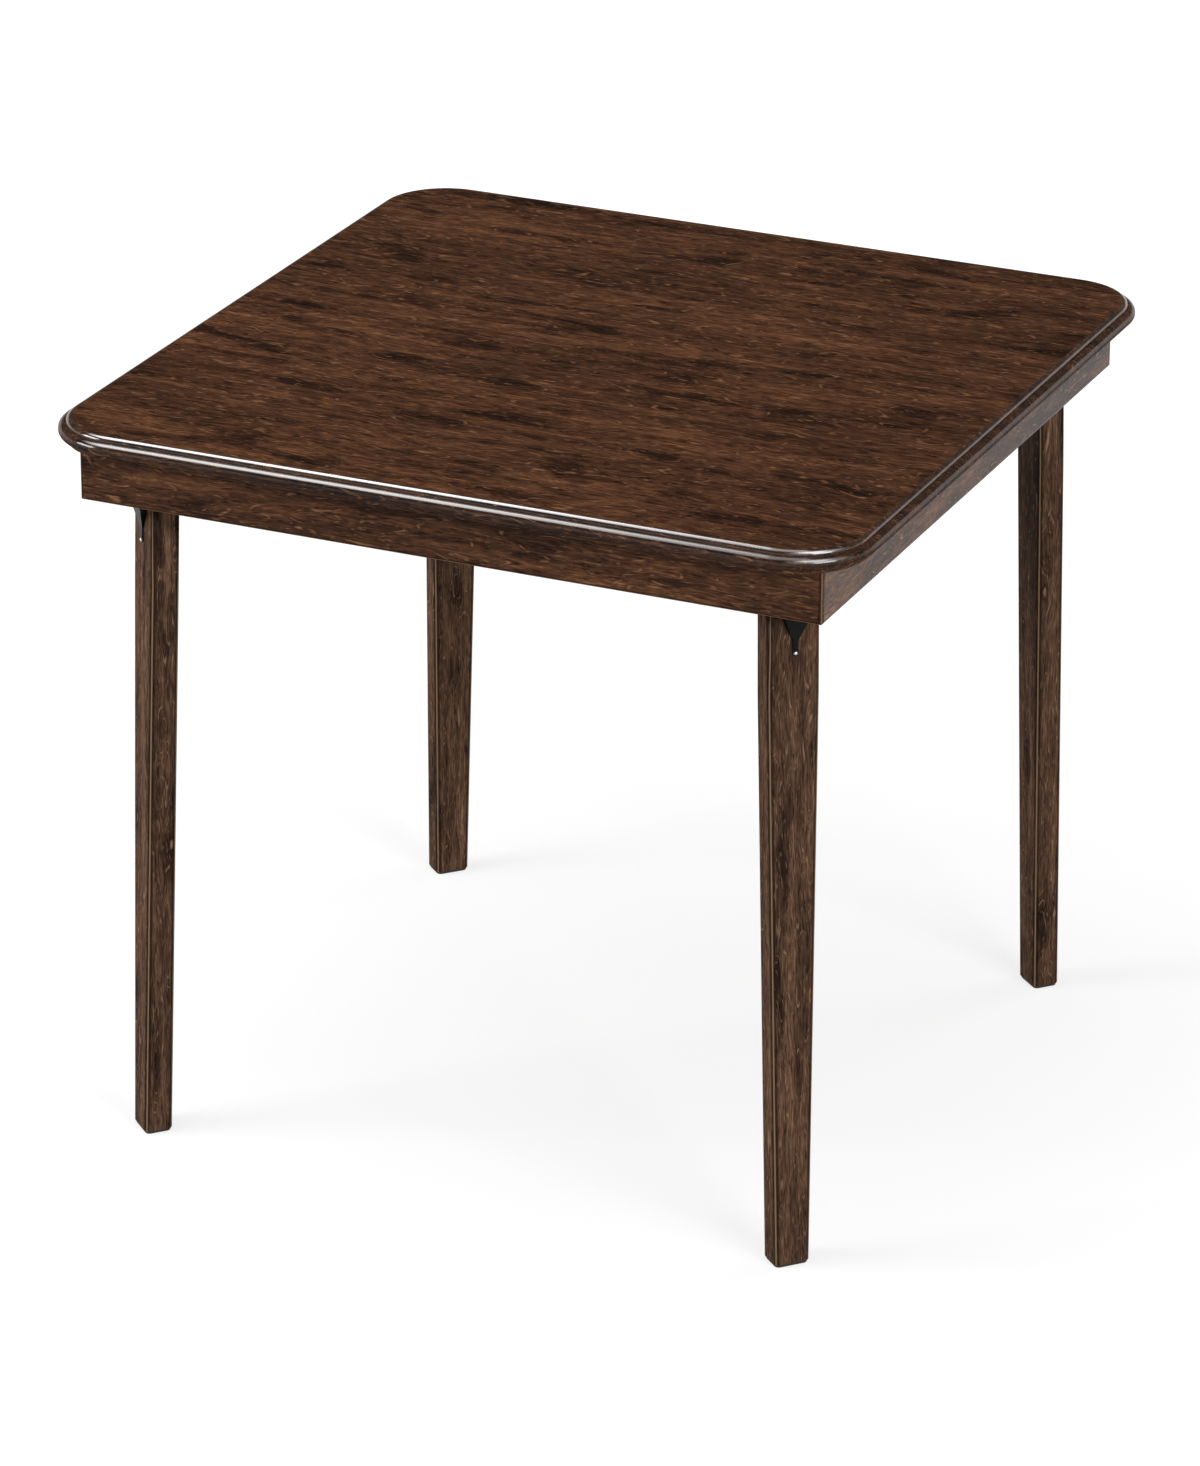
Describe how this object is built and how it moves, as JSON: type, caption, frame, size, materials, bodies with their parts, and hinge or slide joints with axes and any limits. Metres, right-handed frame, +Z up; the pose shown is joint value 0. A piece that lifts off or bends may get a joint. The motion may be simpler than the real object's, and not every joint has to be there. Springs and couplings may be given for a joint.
{
  "type": "folding card table",
  "caption": "Square wooden card table with a double-rolled edge, rounded corners and tapered splayed legs that hinge on the diagonals and fold flat beneath the top.",
  "frame": {"origin": "on the floor under the middle of the top, with the legs open", "axes": "+Z up, +X to the right along the front edge, +Y from front to back"},
  "size_m": [0.813, 0.813, 0.737],
  "materials": {
    "top_wood": "dark walnut stain under satin lacquer, grain along X",
    "batten_wood": "dark walnut stain, thin lacquer",
    "rail_wood": "dark walnut stain under satin lacquer, grain along each rail",
    "block_wood": "bare planed softwood",
    "leg_wood": "dark walnut stain under satin lacquer, grain up the leg",
    "black_steel": "pressed steel, black enamel",
    "bright_steel": "nickel-plated rivet",
    "pin_steel": "zinc-plated steel",
    "spring_steel": "blued spring steel",
    "screw_steel": "zinc-plated steel",
    "glide_plastic": "black moulded plastic"
  },
  "bodies": {
    "table_frame": {"bracket_screws_back_left": "screw_steel", "bracket_screws_back_right": "screw_steel", "bracket_screws_front_left": "screw_steel", "bracket_screws_front_right": "screw_steel", "corner_bracket_back_left": "black_steel", "corner_bracket_back_right": "black_steel", "corner_bracket_front_left": "black_steel", "corner_bracket_front_right": "black_steel", "edge_batten_back": "batten_wood", "edge_batten_front": "batten_wood", "edge_batten_left": "batten_wood", "edge_batten_right": "batten_wood", "glue_block_back": "block_wood", "glue_block_front": "block_wood", "glue_block_left": "block_wood", "glue_block_right": "block_wood", "hinge_pin_back_left": "pin_steel", "hinge_pin_back_right": "pin_steel", "hinge_pin_front_left": "pin_steel", "hinge_pin_front_right": "pin_steel", "lock_spring_back_left": "spring_steel", "lock_spring_back_right": "spring_steel", "lock_spring_front_left": "spring_steel", "lock_spring_front_right": "spring_steel", "rail_back": "rail_wood", "rail_front": "rail_wood", "rail_left": "rail_wood", "rail_right": "rail_wood", "rail_screws_back": "screw_steel", "rail_screws_front": "screw_steel", "rail_screws_left": "screw_steel", "rail_screws_right": "screw_steel", "spring_rivets_back_left": "pin_steel", "spring_rivets_back_right": "pin_steel", "spring_rivets_front_left": "pin_steel", "spring_rivets_front_right": "pin_steel", "tabletop": "top_wood"},
    "leg_assembly_front_left": {"foot_glide_front_left": "glide_plastic", "glide_nail_front_left": "screw_steel", "leg_bracket_front_left": "black_steel", "leg_front_left": "leg_wood", "leg_rivet_front_left": "bright_steel"},
    "leg_assembly_front_right": {"foot_glide_front_right": "glide_plastic", "glide_nail_front_right": "screw_steel", "leg_bracket_front_right": "black_steel", "leg_front_right": "leg_wood", "leg_rivet_front_right": "bright_steel"},
    "leg_assembly_back_left": {"foot_glide_back_left": "glide_plastic", "glide_nail_back_left": "screw_steel", "leg_back_left": "leg_wood", "leg_bracket_back_left": "black_steel", "leg_rivet_back_left": "bright_steel"},
    "leg_assembly_back_right": {"foot_glide_back_right": "glide_plastic", "glide_nail_back_right": "screw_steel", "leg_back_right": "leg_wood", "leg_bracket_back_right": "black_steel", "leg_rivet_back_right": "bright_steel"}
  },
  "joints": [
    {"name": "fold_front_left", "type": "hinge", "parent": "table_frame", "child": "leg_assembly_front_left", "pos_m": [-0.33639, -0.33639, 0.6765], "axis": [0.7388, -0.6739, 0], "range_deg": [0, 91.75]},
    {"name": "fold_front_right", "type": "hinge", "parent": "table_frame", "child": "leg_assembly_front_right", "pos_m": [0.33639, -0.33639, 0.6765], "axis": [0.6739, 0.7388, 0], "range_deg": [0, 87.78]},
    {"name": "fold_back_left", "type": "hinge", "parent": "table_frame", "child": "leg_assembly_back_left", "pos_m": [-0.33639, 0.33639, 0.6765], "axis": [-0.6739, -0.7388, 0], "range_deg": [0, 87.78]},
    {"name": "fold_back_right", "type": "hinge", "parent": "table_frame", "child": "leg_assembly_back_right", "pos_m": [0.33639, 0.33639, 0.6765], "axis": [-0.7388, 0.6739, 0], "range_deg": [0, 91.75]}
  ]
}
